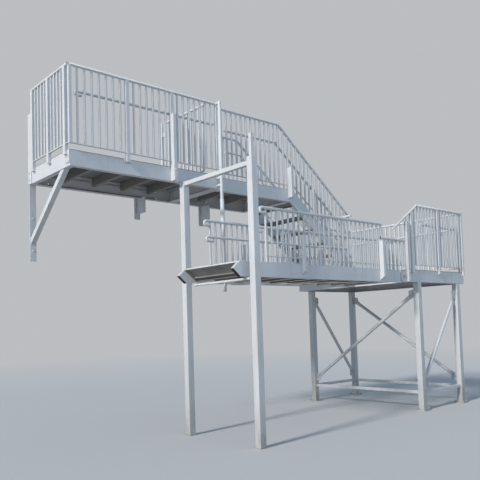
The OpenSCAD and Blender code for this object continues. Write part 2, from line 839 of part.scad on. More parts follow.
// Guard of the lower flight in the plane y = 0 with the stringer's top at z = 0
guard_start = pivot_x - foot_corner + 453;
guard_mid = pivot_x - 558;
guard_stop = pivot_x + 50;
guard_bend_x = guard_start - 53;
module lower_guard() {
    w = baluster_w;
    top = flight_guard_h - rail_d / 2;
    hand = flight_guard_h - flight_hand_drop;
    low_top = 0.673 * flight_guard_h;
    first_top = 406;
    second_top = 440;
    n = baluster_count(guard_start, guard_mid);
    step = (guard_mid - guard_start - w) / n;
    panel(guard_start, guard_mid, 0, 0, top);
    bar_x(guard_bend_x, guard_mid, 0, top, rail_d);
    return_bend(guard_bend_x, guard_start + w / 2, top, bend_r, rail_d);
    translate([0, hand_offset, 0]) {
        bar_x(guard_bend_x, guard_mid, 0, hand, hand_d);
        return_bend(guard_bend_x, guard_start + w / 2, hand, hand_bend_r, hand_d);
    }
    arms([for (i = [0, 8, 16, n]) guard_start + w / 2 + i * step], hand);
    end_x = pivot_x - stringer_gap;
    m = baluster_count(guard_mid - w, guard_stop);
    low_step = (guard_stop - guard_mid) / m;
    for (i = [1:m]) {
        x = guard_mid - w + i * low_step;
        low = x + w > end_x ? toe_gap : 0;
        translate([x, -w / 2, low]) cube([w, w, low_top - low]);
    }
    translate([guard_mid - w, -w / 2, toe_gap]) cube([guard_stop - guard_mid + w, w, toe_h]);
    bar_x(guard_mid - w, guard_stop, 0, low_top, rail_d);
    translate([guard_start + 672, -w / 2, foot_drop - channel_h])
        stanchion(stanchion_b, channel_h - foot_drop + first_top);
    translate([guard_mid - 61, -w / 2, foot_drop / 2 - channel_h])
        stanchion(stanchion_w, channel_h - foot_drop / 2 + second_top);
}

module lower_near_guard() {
    color("white") site() translate([0, near_y + baluster_w / 2, pivot_z + half_h]) lower_guard();
}

module lower_far_guard() {
    color("white") site() translate([0, far_y - baluster_w / 2, pivot_z + half_h])
        mirror([0, 1, 0]) lower_guard();
}

module foot_bar() {
    d = 36;
    hanger = 42;
    strap_t = 8;
    x = goal_inset - foot_corner;
    strap_z = -half_h - strap_t;
    z = strap_z - hanger / 2;
    pull = 60;
    reach = 188;
    ends = [far_y - reach, near_y + 20];
    color("white") on_flight() {
        bar_y(ends[0] + hanger, ends[1] + hanger, x, z, d);
        for (y = ends)
            box([x - hanger / 2, y, z - hanger / 2], [x + hanger / 2, y + 2 * hanger, strap_z]);
        box([x - hanger / 2, far_y - strap_t, -half_h], [x + hanger / 2, ends[0], strap_z]);
        box([x - hanger / 2, near_y + strap_t, -half_h], [x + hanger / 2, ends[1] + 2 * hanger, strap_z]);
        translate([x, (far_y + near_y) / 2 - 130, z - pull]) cylinder(d = 14, h = pull);
    }
}

module plan_brace() {
    t = 8;
    w = 50;
    from_x = guard_start + 427 - pivot_x;
    run = guard_mid - 46 - from_x - pivot_x;
    a = atan(flight_width / run);
    color("white") on_flight() intersection() {
        translate([from_x, far_y, -half_h - t]) rotate([0, 0, -a])
            translate([-4 * w, -w / 2, 0]) cube([norm([run, flight_width]) + 8 * w, w, t]);
        box([-foot_corner, far_y, -half_h - t], [0, near_y, -half_h]);
    }
}

balcony_frame();
balcony_joists();
balcony_deck();
walkway_frame();
walkway_joists();
walkway_deck();
balcony_end_guard();
balcony_front_guard();
balcony_stanchions();
strut_wall_leg();
corner_strut();
wall_brackets();
upper_front_stringer();
upper_wall_stringer();
upper_treads();
upper_front_guard();
upper_wall_guard();
upper_stanchions();
landing_frame();
landing_joists();
landing_deck();
landing_front_guard();
landing_end_guard();
landing_wall_guard();
landing_divider();
raking_handrail();
tower_posts();
tower_braces();
tower_ties();
goal_post_inner();
goal_post_outer();
goal_crossbar();
upright_tube();
hinge_cheeks();
gate_post();
gate_leaf();
lower_near_stringer();
lower_far_stringer();
hinge_lugs();
lower_treads();
lower_near_guard();
lower_far_guard();
foot_bar();
plan_brace();
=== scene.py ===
"""Looks of the outside escape stair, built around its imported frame."""
import json
import math
import random

import bmesh
import bpy
from mathutils import Matrix, Vector


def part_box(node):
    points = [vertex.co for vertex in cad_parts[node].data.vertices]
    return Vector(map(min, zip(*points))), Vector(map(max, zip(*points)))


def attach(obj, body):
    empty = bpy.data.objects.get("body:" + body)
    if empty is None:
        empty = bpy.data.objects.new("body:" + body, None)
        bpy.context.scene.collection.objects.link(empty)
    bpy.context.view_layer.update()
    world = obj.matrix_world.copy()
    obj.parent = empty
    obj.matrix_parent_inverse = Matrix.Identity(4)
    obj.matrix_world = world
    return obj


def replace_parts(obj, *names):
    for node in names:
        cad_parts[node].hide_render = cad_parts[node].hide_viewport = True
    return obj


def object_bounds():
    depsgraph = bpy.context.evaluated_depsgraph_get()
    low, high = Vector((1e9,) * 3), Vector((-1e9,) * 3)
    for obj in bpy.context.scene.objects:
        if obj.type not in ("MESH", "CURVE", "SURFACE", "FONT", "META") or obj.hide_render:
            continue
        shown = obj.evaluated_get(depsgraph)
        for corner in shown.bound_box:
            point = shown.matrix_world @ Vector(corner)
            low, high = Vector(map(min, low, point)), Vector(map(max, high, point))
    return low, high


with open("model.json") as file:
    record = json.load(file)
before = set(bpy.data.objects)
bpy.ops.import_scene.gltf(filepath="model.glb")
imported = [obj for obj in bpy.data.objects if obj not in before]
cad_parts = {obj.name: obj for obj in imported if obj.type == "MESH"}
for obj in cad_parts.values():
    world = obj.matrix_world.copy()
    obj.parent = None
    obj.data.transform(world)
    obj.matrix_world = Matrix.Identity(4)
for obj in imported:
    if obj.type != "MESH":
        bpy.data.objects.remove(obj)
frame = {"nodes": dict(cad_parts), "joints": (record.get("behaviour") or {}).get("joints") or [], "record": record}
cad_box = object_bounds()
nodes = frame["nodes"]
scene = bpy.context.scene
random.seed(7)

# The site frame is in millimetres: X from the balcony's left end, Y into the wall, Z from the ground
ORIGIN_X = round(-1000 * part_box("balcony_frame")[0].x, 1)
ORIGIN_Z = round(-1000 * cad_box[0].z, 1)


def site(x, y, z):
    """A point of the site frame, in metres of the row frame."""
    return Vector(((x - ORIGIN_X) / 1000, y / 1000, (z - ORIGIN_Z) / 1000))


def to_site(point):
    """A point of the row frame, in site millimetres."""
    x, y, z = point
    return round(1000 * x + ORIGIN_X, 1), round(1000 * y, 1), round(1000 * z + ORIGIN_Z, 1)


def span(node, axis):
    """Lowest and highest place of a node along X, Y or Z at rest, in site millimetres."""
    return tuple(to_site(corner)["XYZ".index(axis)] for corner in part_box(node))


# Camera: a plain lens fitted to the photograph's edges, in its pixels, degrees and metres
PHOTO_PX = 480
FOCAL_PX, CENTRE_X_PX, CENTRE_Y_PX = 611.90, 258.94, 290.19
YAW, PITCH, ROLL = map(math.radians, (42.263, 3.307, -1.908))
CAMERA_AT = (-4.5212, -8.3894, -2.1696)
SENSOR_MM = 36


def make_camera():
    """Turns yaw, pitch and roll into the camera's axes; the shift sets the lens's centre."""
    forward = Vector((math.sin(YAW) * math.cos(PITCH), math.cos(YAW) * math.cos(PITCH), math.sin(PITCH)))
    level_right = Vector((math.cos(YAW), -math.sin(YAW), 0))
    level_up = level_right.cross(forward)
    right = math.cos(ROLL) * level_right + math.sin(ROLL) * level_up
    up = math.cos(ROLL) * level_up - math.sin(ROLL) * level_right
    data = bpy.data.cameras.new("camera")
    data.sensor_width = SENSOR_MM
    data.lens = FOCAL_PX / PHOTO_PX * SENSOR_MM
    data.shift_x = (PHOTO_PX / 2 - CENTRE_X_PX) / PHOTO_PX
    data.shift_y = (CENTRE_Y_PX - PHOTO_PX / 2) / PHOTO_PX
    data.clip_start = 0.05
    data.clip_end = 200
    cam = bpy.data.objects.new("camera", data)
    scene.collection.objects.link(cam)
    rows = [[right[i], up[i], -forward[i], 0] for i in range(3)] + [[0, 0, 0, 1]]
    cam.matrix_world = Matrix.Translation(CAMERA_AT) @ Matrix(rows)
    scene.camera = cam


# Light, floor and background
BACKGROUND = (0.50, 0.515, 0.535, 1)
SKY_LIGHT = (0.58, 0.77, 1.0, 1)
SKY_STRENGTH = 0.40
# Each lamp: name, direction of travel, strength, angle in degrees, colour
LAMPS = (("key", (0.86, 0.11, -0.50), 2.45, 8, (1.0, 0.975, 0.94)),
         ("front_fill", (0.10, 0.95, -0.22), 0.34, 70, (0.52, 0.76, 1.0)))
GROUND = cad_box[0].z
FLOOR_CENTRE = (2.2, -1.4, GROUND)
FLOOR_RADIUS = 60
FLOOR_SEEN = (0.66, 0.65, 0.64, 1)
FLOOR_BOUNCE = (0.46, 0.45, 0.43, 1)
FADE_FROM, FADE_TO = 8, 26


def make_world():
    """Even sky light; camera, gloss and glass rays see the plain background instead."""
    world = bpy.data.worlds.new("studio")
    scene.world = world
    world.use_nodes = True
    tree = world.node_tree
    tree.nodes.clear()
    light = tree.nodes.new("ShaderNodeBackground")
    light.inputs["Color"].default_value = SKY_LIGHT
    light.inputs["Strength"].default_value = SKY_STRENGTH
    seen = tree.nodes.new("ShaderNodeBackground")
    seen.inputs["Color"].default_value = BACKGROUND
    path = tree.nodes.new("ShaderNodeLightPath")
    shown = path.outputs["Is Camera Ray"]
    for ray in ("Is Glossy Ray", "Is Transmission Ray"):
        either = tree.nodes.new("ShaderNodeMath")
        either.operation = "MAXIMUM"
        tree.links.new(shown, either.inputs[0])
        tree.links.new(path.outputs[ray], either.inputs[1])
        shown = either.outputs[0]
    mix = tree.nodes.new("ShaderNodeMixShader")
    tree.links.new(shown, mix.inputs[0])
    tree.links.new(light.outputs[0], mix.inputs[1])
    tree.links.new(seen.outputs[0], mix.inputs[2])
    out = tree.nodes.new("ShaderNodeOutputWorld")
    tree.links.new(mix.outputs[0], out.inputs["Surface"])


def make_lamps():
    for name, travel, strength, angle, colour in LAMPS:
        data = bpy.data.lights.new(name, "SUN")
        data.energy = strength
        data.angle = math.radians(angle)
        data.color = colour
        lamp = bpy.data.objects.new(name, data)
        lamp.rotation_mode = "QUATERNION"
        lamp.rotation_quaternion = Vector(travel).to_track_quat("-Z", "Y")
        scene.collection.objects.link(lamp)


def floor_material():
    """Pale floor that keeps the shadow and fades into the background far out."""
    mat = bpy.data.materials.new("floor")
    mat.use_nodes = True
    tree = mat.node_tree
    tree.nodes.clear()
    seen, bounced = (tree.nodes.new("ShaderNodeBsdfDiffuse") for _ in range(2))
    seen.inputs["Color"].default_value = FLOOR_SEEN
    bounced.inputs["Color"].default_value = FLOOR_BOUNCE
    path = tree.nodes.new("ShaderNodeLightPath")
    near = tree.nodes.new("ShaderNodeMixShader")
    tree.links.new(path.outputs["Is Camera Ray"], near.inputs[0])
    tree.links.new(bounced.outputs[0], near.inputs[1])
    tree.links.new(seen.outputs[0], near.inputs[2])
    far = tree.nodes.new("ShaderNodeEmission")
    far.inputs["Color"].default_value = BACKGROUND
    coord = tree.nodes.new("ShaderNodeTexCoord")
    length = tree.nodes.new("ShaderNodeVectorMath")
    length.operation = "LENGTH"
    fade = tree.nodes.new("ShaderNodeMapRange")
    fade.inputs["From Min"].default_value = FADE_FROM
    fade.inputs["From Max"].default_value = FADE_TO
    tree.links.new(coord.outputs["Object"], length.inputs[0])
    tree.links.new(length.outputs["Value"], fade.inputs["Value"])
    mix = tree.nodes.new("ShaderNodeMixShader")
    tree.links.new(fade.outputs["Result"], mix.inputs[0])
    tree.links.new(near.outputs[0], mix.inputs[1])
    tree.links.new(far.outputs[0], mix.inputs[2])
    out = tree.nodes.new("ShaderNodeOutputMaterial")
    tree.links.new(mix.outputs[0], out.inputs["Surface"])
    return mat


def make_floor():
    mesh = bpy.data.meshes.new("floor")
    bm = bmesh.new()
    bmesh.ops.create_circle(bm, cap_ends=True, segments=96, radius=FLOOR_RADIUS)
    bm.to_mesh(mesh)
    bm.free()
    mesh.materials.append(floor_material())
    floor = bpy.data.objects.new("floor", mesh)
    floor.location = FLOOR_CENTRE
    scene.collection.objects.link(floor)


make_camera()
make_world()
make_lamps()
make_floor()
scene.view_settings.view_transform = "Standard"


# Materials
class Look:
    """A node material that is built up in layers of colour."""

    def __init__(self, name):
        self.mat = bpy.data.materials.new(name)
        self.mat.use_nodes = True
        self.tree = self.mat.node_tree
        self.shader = self.tree.nodes["Principled BSDF"]
        self.coord = self.node("ShaderNodeTexCoord")
        self.upward = self.split(self.coord.outputs["Normal"])["Z"]
        place = self.split(self.coord.outputs["Object"])
        self.across = place["X"]
        self.along = place["Y"]
        self.height = place["Z"]

    def node(self, kind, **values):
        """A new node; each value goes to the input of that name, or else to the property."""
        n = self.tree.nodes.new(kind)
        for key, value in values.items():
            if key in n.inputs:
                n.inputs[key].default_value = value
            else:
                setattr(n, key, value)
        return n

    def link(self, a, b):
        self.tree.links.new(a, b)

    def split(self, vector):
        n = self.node("ShaderNodeSeparateXYZ")
        self.link(vector, n.inputs[0])
        return n.outputs

    def noise(self, scale, detail=4, stretch=None):
        """Cloudy values from 0 to 1 over the object's own place, about scale patches a metre."""
        source = self.coord.outputs["Object"]
        if stretch:
            mapping = self.node("ShaderNodeMapping", Scale=stretch)
            self.link(source, mapping.inputs["Vector"])
            source = mapping.outputs["Vector"]
        n = self.node("ShaderNodeTexNoise", Scale=scale, Detail=detail, Roughness=0.6)
        self.link(source, n.inputs["Vector"])
        return n.outputs["Fac"]

    def ramp(self, source, low, high, to=1.0, start=0.0):
        """Maps a source from low..high to start..to, held at both ends."""
        n = self.node("ShaderNodeMapRange")
        n.inputs["From Min"].default_value = low
        n.inputs["From Max"].default_value = high
        n.inputs["To Min"].default_value = start
        n.inputs["To Max"].default_value = to
        self.link(source, n.inputs["Value"])
        return n.outputs["Result"]

    def math(self, operation, a, b=None):
        n = self.node("ShaderNodeMath", operation=operation)
        for socket, value in zip(n.inputs, (a, b)):
            if value is None:
                continue
            if isinstance(value, (int, float)):
                socket.default_value = value
            else:
                self.link(value, socket)
        return n.outputs[0]

    def times(self, *factors):
        out = factors[0]
        for factor in factors[1:]:
            out = self.math("MULTIPLY", out, factor)
        return out

    def blend(self, factor, a, b):
        """Colour a with b laid over it by factor."""
        n = self.node("ShaderNodeMix", data_type="RGBA")
        first, second = [s for s in n.inputs if s.type == "RGBA"]
        self.link(factor, n.inputs[0])
        if isinstance(a, tuple):
            first.default_value = (*a, 1)
        else:
            self.link(a, first)
        second.default_value = (*b, 1)
        return [s for s in n.outputs if s.type == "RGBA"][0]

    def facing_up(self):
        return self.ramp(self.upward, 0.4, 0.9)

    def crevice_shade(self, reach=0.05):
        """Ambient occlusion mask for painted shade: 1 in corners and joints, 0 on open faces."""
        n = self.node("ShaderNodeAmbientOcclusion", samples=6, Distance=reach)
        return self.ramp(n.outputs["AO"], 0.85, 0.35)

    def rust_specks(self, shade, spots, amount, places):
        """Small rust spots in some places; spots and places are each a noise scale with its ramp's limits."""
        spot_scale, *spot_limits = spots
        place_scale, *place_limits = places
        spotted = self.ramp(self.noise(spot_scale, 9), *spot_limits, amount)
        where = self.ramp(self.noise(place_scale, 3), *place_limits)
        return self.blend(self.times(spotted, where), shade, RUST)

    def finish(self, colour, rough, relief_height, relief_strength=0.12, relief_depth=0.002):
        """Colour, uneven roughness and fine relief; the depth is in metres."""
        self.link(colour, self.shader.inputs["Base Color"])
        roughness = self.ramp(self.noise(6.0, 6), 0.2, 0.8, rough + 0.22, rough)
        self.link(roughness, self.shader.inputs["Roughness"])
        bump = self.node("ShaderNodeBump", Strength=relief_strength, Distance=relief_depth)
        self.link(relief_height, bump.inputs["Height"])
        self.link(bump.outputs["Normal"], self.shader.inputs["Normal"])
        self.shader.inputs["Specular IOR Level"].default_value = 0.4
        return self.mat


RUST = (0.23, 0.09, 0.035)
# Grey of the painted shade towards the bottom of posts
LOW_SHADE_GREY = (0.40, 0.39, 0.37)
MUD = (0.20, 0.16, 0.11)
DRY_SOIL = (0.24, 0.21, 0.17)
SOOT = (0.08, 0.07, 0.06)
# Heights above the ground, in metres, between which the painted shade on posts and the splashes fade out
LOW_SHADE_BOTTOM, LOW_SHADE_TOP = 0.2, 2.4
SPLASH_LOW, SPLASH_HIGH = 0.02, 0.55


def toned(colour, share):
    return tuple(min(1.0, c * share) for c in colour)


def run_marks(look, shade, dirt, amount):
    """Thin dirty runs down the upright faces."""
    upright = look.ramp(look.times(look.upward, look.upward), 0.5, 0.1)
    runs = look.ramp(look.noise(1.0, 6, (24, 24, 1.1)), 0.54, 0.80, amount)
    return look.blend(look.times(upright, runs), shade, dirt)


def dust_on_top(look, shade, dirt, amount):
    dust = look.ramp(look.noise(9.0, 6), 0.25, 0.75, amount)
    return look.blend(look.times(look.facing_up(), dust), shade, toned(dirt, 1.25))


# Darkens downward faces with a deep tone of the dirt: partly real dirt, partly painted shade on undersides.
def grime_and_shade_below(look, shade, dirt, amount):
    facing_down = look.ramp(look.upward, -0.4, -0.9)
    grime_and_shade = look.ramp(look.noise(3.0, 6), 0.1, 0.7, amount)
    return look.blend(look.times(facing_down, grime_and_shade), shade, toned(dirt, 0.6))


# Darkens corners and joints by the occlusion mask: partly real dirt, partly painted shade.
def corner_dirt_and_shade(look, shade, colour, scale, amount):
    corners = look.times(look.crevice_shade(), look.ramp(look.noise(scale, 5), 0.25, 0.75, amount))
    return look.blend(corners, shade, colour)


def painted_low_shade(look, shade, amount):
    """Painted shade: patchy darkening towards the lower part of a post."""
    low_down = look.ramp(look.height, GROUND + LOW_SHADE_TOP, GROUND + LOW_SHADE_BOTTOM)
    low_shade_patches = look.ramp(look.noise(2.0, 6, (1, 1, 0.35)), 0.15, 0.65, amount)
    return look.blend(look.times(low_down, low_shade_patches), shade, LOW_SHADE_GREY)


def splashed(look, shade, amount):
    near_ground = look.ramp(look.height, GROUND + SPLASH_HIGH, GROUND + SPLASH_LOW)
    mud = look.ramp(look.noise(6.0, 7, (1, 1, 0.5)), 0.30, 0.75, amount)
    return look.blend(look.times(near_ground, mud), shade, MUD)


# The amount for the lower part of posts is painted shade, darkening towards the bottom.
# The under amount sets dirt and painted shade on downward faces together.
def painted(name, colour, dirt=(0.30, 0.28, 0.25), patches=0.12, streak=0.22, rust=0.35, top=0.35, under=0.35,
            splash=0.0, low_shade=0.0, rough=0.42):
    """Weathered paint on steel: faint patches, runs, dust on top, dirt and painted shade in corners and on
    downward faces, and rust specks; painted shade towards the bottom of posts and mud splashes where asked.
    """
    look = Look(name)
    shade = look.blend(look.ramp(look.noise(1.7, 5), 0.35, 0.7), colour, toned(colour, 0.93))
    shade = look.blend(look.ramp(look.noise(5.0, 8), 0.52, 0.80, patches), shade, dirt)
    shade = run_marks(look, shade, dirt, streak)
    shade = dust_on_top(look, shade, dirt, top)
    shade = grime_and_shade_below(look, shade, dirt, under)
    shade = corner_dirt_and_shade(look, shade, toned(dirt, 0.7), 7.0, 0.45)
    if low_shade:
        shade = painted_low_shade(look, shade, low_shade)
    if splash:
        shade = splashed(look, shade, splash)
    shade = look.rust_specks(shade, (14.0, 0.67, 0.72), rust, (1.1, 0.47, 0.62))
    return look.finish(shade, rough, look.noise(150.0, 3))


def walked(name, colour, raised):
    """Grey metal that people walk on: a raised pattern rubbed bright, dirt between it, and soot with painted shade
    in corners.
    """
    look = Look(name)
    height = raised(look)
    shade = look.blend(look.ramp(look.noise(2.2, 6), 0.35, 0.72, 0.6), colour, toned(colour, 0.55))
    trodden = look.ramp(look.noise(11.0, 8), 0.40, 0.75, 0.5)
    shade = look.blend(look.times(look.facing_up(), trodden), shade, DRY_SOIL)
    rubbed = look.ramp(look.noise(3.0, 4), 0.30, 0.65, 0.55)
    shade = look.blend(look.times(height, look.facing_up(), rubbed), shade, toned(colour, 1.7))
    shade = corner_dirt_and_shade(look, shade, SOOT, 8.0, 0.5)
    shade = look.rust_specks(shade, (18.0, 0.66, 0.72), 0.5, (1.6, 0.48, 0.62))
    return look.finish(shade, 0.55, height, 0.5, 0.003)


CHEQUER_CELL = 0.034


def chequer(look):
    """Raised lozenges of floor plate, turned a quarter from cell to cell."""
    u = look.math("DIVIDE", look.math("ADD", look.across, look.along), CHEQUER_CELL)
    v = look.math("DIVIDE", look.math("SUBTRACT", look.across, look.along), CHEQUER_CELL)
    cell = look.math("ADD", look.math("FLOOR", u), look.math("FLOOR", v))
    parity = look.math("MODULO", look.math("ABSOLUTE", cell), 2.0)

    def off_centre(place):
        return look.math("ABSOLUTE", look.math("SUBTRACT", look.math("FRACT", place), 0.5))

    def bar(long, thin):
        return look.times(look.ramp(off_centre(thin), 0.17, 0.08), look.ramp(off_centre(long), 0.46, 0.34))

    other_cells = look.math("SUBTRACT", 1.0, parity)
    return look.math("ADD", look.times(bar(u, v), parity), look.times(bar(v, u), other_cells))


def plain_wear(look):
    return look.ramp(look.noise(60.0, 4), 0.35, 0.7)


def bare_steel(name, colour):
    """Zinc-plated fixings: crystal patches, matt dark spots in the hollows that are partly dirt and partly painted
    shade, and a little rust.
    """
    look = Look(name)
    cells = look.node("ShaderNodeTexVoronoi", Scale=90.0)
    look.link(look.coord.outputs["Object"], cells.inputs["Vector"])
    shade = look.blend(look.ramp(cells.outputs["Distance"], 0.1, 0.7, 0.5), colour, toned(colour, 0.72))
    # Dark spots in the hollows: partly dirt, partly painted shade.
    dull_dirt_and_shade = look.times(look.crevice_shade(0.02), look.ramp(look.noise(30.0, 5), 0.3, 0.7, 0.6))
    shade = look.blend(dull_dirt_and_shade, shade, (0.16, 0.12, 0.09))
    shade = look.blend(look.ramp(look.noise(40.0, 7), 0.62, 0.70, 0.35), shade, RUST)
    mat = look.finish(shade, 0.38, look.noise(220.0, 3))
    look.shader.inputs["Metallic"].default_value = 0.35
    return mat


WHITE = (0.80, 0.81, 0.82)
white = painted("off_white_paint", WHITE)
beam = painted("edge_beam_paint", (0.78, 0.79, 0.81), streak=0.20)
post = painted("post_paint", (0.79, 0.80, 0.81), streak=0.30, splash=0.7, low_shade=0.42)
# Joists: a grey darker than their own paint, standing in for the shade under the balcony; painted shade and dirt
# below as well.
grey = painted("joist_grey_painted_shade", (0.28, 0.265, 0.25), dirt=(0.16, 0.14, 0.12), under=0.3)
deck = walked("chequer_plate", (0.27, 0.27, 0.265), chequer)
# Tread plates: grey, partly a colour chosen for the tops and partly standing in for the shade under the treads.
tread = walked("tread_grey_painted_shade", (0.34, 0.325, 0.305), plain_wear)
strut = painted("strut_paint", WHITE, streak=0.18, top=0.12, splash=0.35, low_shade=0.15)
hinge = painted("hinge_paint", (0.70, 0.71, 0.72), rust=0.6)
zinc = bare_steel("zinc_fixings", (0.50, 0.50, 0.50))
rubber = painted("foot_rubber", (0.035, 0.035, 0.035), dirt=(0.12, 0.11, 0.10), rust=0.0, rough=0.7)

SLOT_LOOKS = {"edge_beams": beam, "joists": grey, "deck_plates": deck, "guards": white, "stanchions": white,
              "wall_supports": white, "fixed_treads": tread, "tower": post, "goal_frame": post, "tube": white,
              "hinge_steel": hinge, "gate": white, "flight_stringers": beam, "flight_treads": tread,
              "flight_guards": white, "flight_bar": white}
NODE_LOOKS = {"tower_ties": strut}

# Rounded edges of the rolled sections: radius in metres, steps and the nodes that have them
EDGES = (((0.008, 3), ("tower_posts", "goal_post_inner", "goal_post_outer")),
         ((0.006, 2), ("goal_crossbar",)),
         ((0.005, 2), ("tower_ties",)),
         ((0.004, 2), ("balcony_stanchions", "lower_near_stringer", "lower_far_stringer", "balcony_frame",
                       "walkway_frame", "landing_frame", "upper_front_stringer", "upper_wall_stringer")))
EDGE_OF = {node: edge for edge, names in EDGES for node in names}
PLAIN_EDGE = (0.002, 1)
SHARP = math.radians(40)


def round_edges(obj, radius, steps):
    bevel = obj.modifiers.new("edges", "BEVEL")
    bevel.width = radius
    bevel.segments = steps
    bevel.limit_method = "ANGLE"
    bevel.angle_limit = SHARP


def dress_nodes():
    """Gives each node its slot's look and softens its edges."""
    for part in frame["record"]["subparts"]:
        name = part["node"]
        obj = nodes[name]
        obj.data.materials.clear()
        obj.data.materials.append(NODE_LOOKS.get(name, SLOT_LOOKS[part["material_slot"]]))
        weld = obj.modifiers.new("weld", "WELD")
        weld.merge_threshold = 0.00002
        round_edges(obj, *EDGE_OF.get(name, PLAIN_EDGE))


dress_nodes()


# Pieces
class Piece:
    """Collects the meshes of one piece, in site millimetres, and becomes an object that rides on a body."""

    def __init__(self, name, body, slot, material):
        self.name = name
        self.body = body
        self.slot = slot
        self.material = material
        self.bm = bmesh.new()

    def solid(self, rings):
        """Closes a skin over rings of points that follow each other."""
        rows = [[self.bm.verts.new(site(*p)) for p in ring] for ring in rings]
        n = len(rows[0])
        for a, b in zip(rows, rows[1:]):
            for i in range(n):
                self.bm.faces.new((a[i], a[(i + 1) % n], b[(i + 1) % n], b[i]))
        self.bm.faces.new(list(reversed(rows[0])))
        self.bm.faces.new(rows[-1])

    def block(self, a, b):
        """A box between two opposite corners."""
        (x0, x1), (y0, y1), (z0, z1) = [sorted(v) for v in zip(a, b)]
        self.solid([[(x0, y0, z), (x1, y0, z), (x1, y1, z), (x0, y1, z)] for z in (z0, z1)])

    def profile(self, outline, y0, y1):
        """An outline of X and Z, drawn out along Y."""
        self.solid([[(x, y, z) for x, z in outline] for y in (y0, y1)])

    def round(self, centre, axis, radii_at, sides=12, spin=0.0):
        """A turned solid: pairs of distance along the axis and radius."""
        axis = Vector(axis).normalized()
        side = axis.orthogonal().normalized()
        up = axis.cross(side)
        turns = [2 * math.pi * i / sides + spin for i in range(sides)]
        rings = []
        for along, radius in radii_at:
            middle = Vector(centre) + axis * along
            rings.append([tuple(middle + (side * math.cos(a) + up * math.sin(a)) * radius) for a in turns])
        self.solid(rings)

    def pipe(self, points, radius, sides=16):
        """A round bar along a line of points."""
        path = [Vector(p) for p in points]
        turns = [2 * math.pi * k / sides for k in range(sides)]
        rings = []
        side = None
        for i, p in enumerate(path):
            ahead = (path[min(i + 1, len(path) - 1)] - path[max(i - 1, 0)]).normalized()
            side = (side - ahead * side.dot(ahead)).normalized() if side else ahead.orthogonal().normalized()
            up = ahead.cross(side)
            rings.append([tuple(p + (side * math.cos(a) + up * math.sin(a)) * radius) for a in turns])
        self.solid(rings)

    def bolt(self, centre, axis, size, stud=0.0):
        """Washer and hexagon head on a face, or a nut with its stud; size is the thread."""
        washer_r = size * 0.95
        self.round(centre, axis, [(-0.2, washer_r), (size * 0.16, washer_r), (size * 0.20, size * 0.88)], 14)
        spin = random.uniform(0, math.pi / 3)
        low, high = size * 0.18, size * 0.82
        head = [(low, size * 0.86), (high - size * 0.1, size * 0.86), (high, size * 0.72)]
        self.round(centre, axis, head, 6, spin)
        if stud:
            thread = [(high - 1, size * 0.5), (high + stud - 2, size * 0.5), (high + stud, size * 0.4)]
            self.round(centre, axis, thread, 10)

    def weld_ring(self, centre, half, leg=7.0):
        """A fillet weld round the foot of a square post that stands along Z."""
        x, y, z = centre
        corners = ((-1, -1), (1, -1), (1, 1), (-1, 1))
        self.solid([[(x + sx * (half + grow), y + sy * (half + grow), z + lift) for sx, sy in corners]
                    for grow, lift in ((leg, 0), (0, leg), (0, 0))])

    def done(self, bevel=0.0, steps=1, smooth=False):
        """Makes the object; bevel is the radius of its edges in metres."""
        bmesh.ops.recalc_face_normals(self.bm, faces=self.bm.faces)
        mesh = bpy.data.meshes.new(self.name)
        self.bm.to_mesh(mesh)
        self.bm.free()
        mesh.materials.append(self.material)
        if smooth:
            mesh.shade_smooth()
            mesh.set_sharp_from_angle(angle=math.radians(35))
        obj = bpy.data.objects.new(self.name, mesh)
        scene.collection.objects.link(obj)
        if bevel:
            round_edges(obj, bevel, steps)
        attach(obj, self.body)
        return obj


# Sizes that several pieces follow, most of them read from the frame, in site millimetres
DECK = span("balcony_deck", "Z")[1]
DECK_LOW = span("balcony_frame", "Z")[0]
FRONT = span("balcony_frame", "Y")[0]
WALK = span("walkway_frame", "Y")[0]
BALCONY_END, DECK_EDGE = span("walkway_frame", "X")
LANDING = span("landing_deck", "Z")[1]
LANDING_LOW = span("landing_frame", "Z")[0]
LANDING_START, LANDING_END = span("landing_frame", "X")
WALL = span("landing_frame", "Y")[1]
NEAR, NEAR_INSIDE = span("lower_near_stringer", "Y")
FAR_INSIDE, FAR = span("lower_far_stringer", "Y")
STRINGER_START, STRINGER_END = span("lower_near_stringer", "X")
STRINGER_LOW, STRINGER_TOP = span("lower_near_stringer", "Z")
FLIGHT_HINGE = next(joint for joint in frame["joints"] if joint["name"] == "flight_hinge")
PIVOT_X, _, PIVOT_Z = to_site(FLIGHT_HINGE["pos_m"])
FOLD = math.radians(FLIGHT_HINGE["range_deg"][1])
LEFT, TOWARDS_VIEW, AWAY, UP = (-1, 0, 0), (0, -1, 0), (0, 1, 0), (0, 0, 1)
POST_HALF = 50
BASE_HALF = 100
M10, M12, M14, M16 = 10, 12, 14, 16
POST_X = (span("tower_posts", "X")[0] + BASE_HALF, span("tower_posts", "X")[1] - BASE_HALF)
POST_Y = (span("tower_posts", "Y")[0] + BASE_HALF, span("tower_posts", "Y")[1] - BASE_HALF)
GOAL_X = sum(span("goal_post_outer", "X")) / 2
GOAL_OUT = sum(span("goal_post_outer", "Y")) / 2
GOAL_IN = span("goal_post_inner", "Y")[0] + POST_HALF

# Treads: a folded plate under a white nosing strip; the plate's grey stands in partly for the shade under the
# treads
UPPER_TREADS, LOWER_TREADS = 6, 10
GOING = (span("upper_treads", "X")[1] - DECK_EDGE) / UPPER_TREADS
RISER = (DECK - LANDING) / (UPPER_TREADS + 1)
TREAD_DEPTH, TREAD_H = 250, 40
PLATE_T, PLATE_TOP = 5, -3
NOSING_T, NOSING_LIP, NOSING_REACH = 4, 26, 38
LIP_RETURN = 16
RIBS, RIBS_FROM, RIBS_TO = 7, 45, TREAD_DEPTH - 15
RIB_RISE, RIB_TOP_HALF, RIB_FOOT_HALF = 2.5, 4, 7
STIFFENER_AT, STIFFENER_T, STIFFENER_LOW, STIFFENER_HIGH = 182, 6, -30, -6
# Distance along the flight from its pivot to the corner of its foot
FOOT_CORNER = 3494


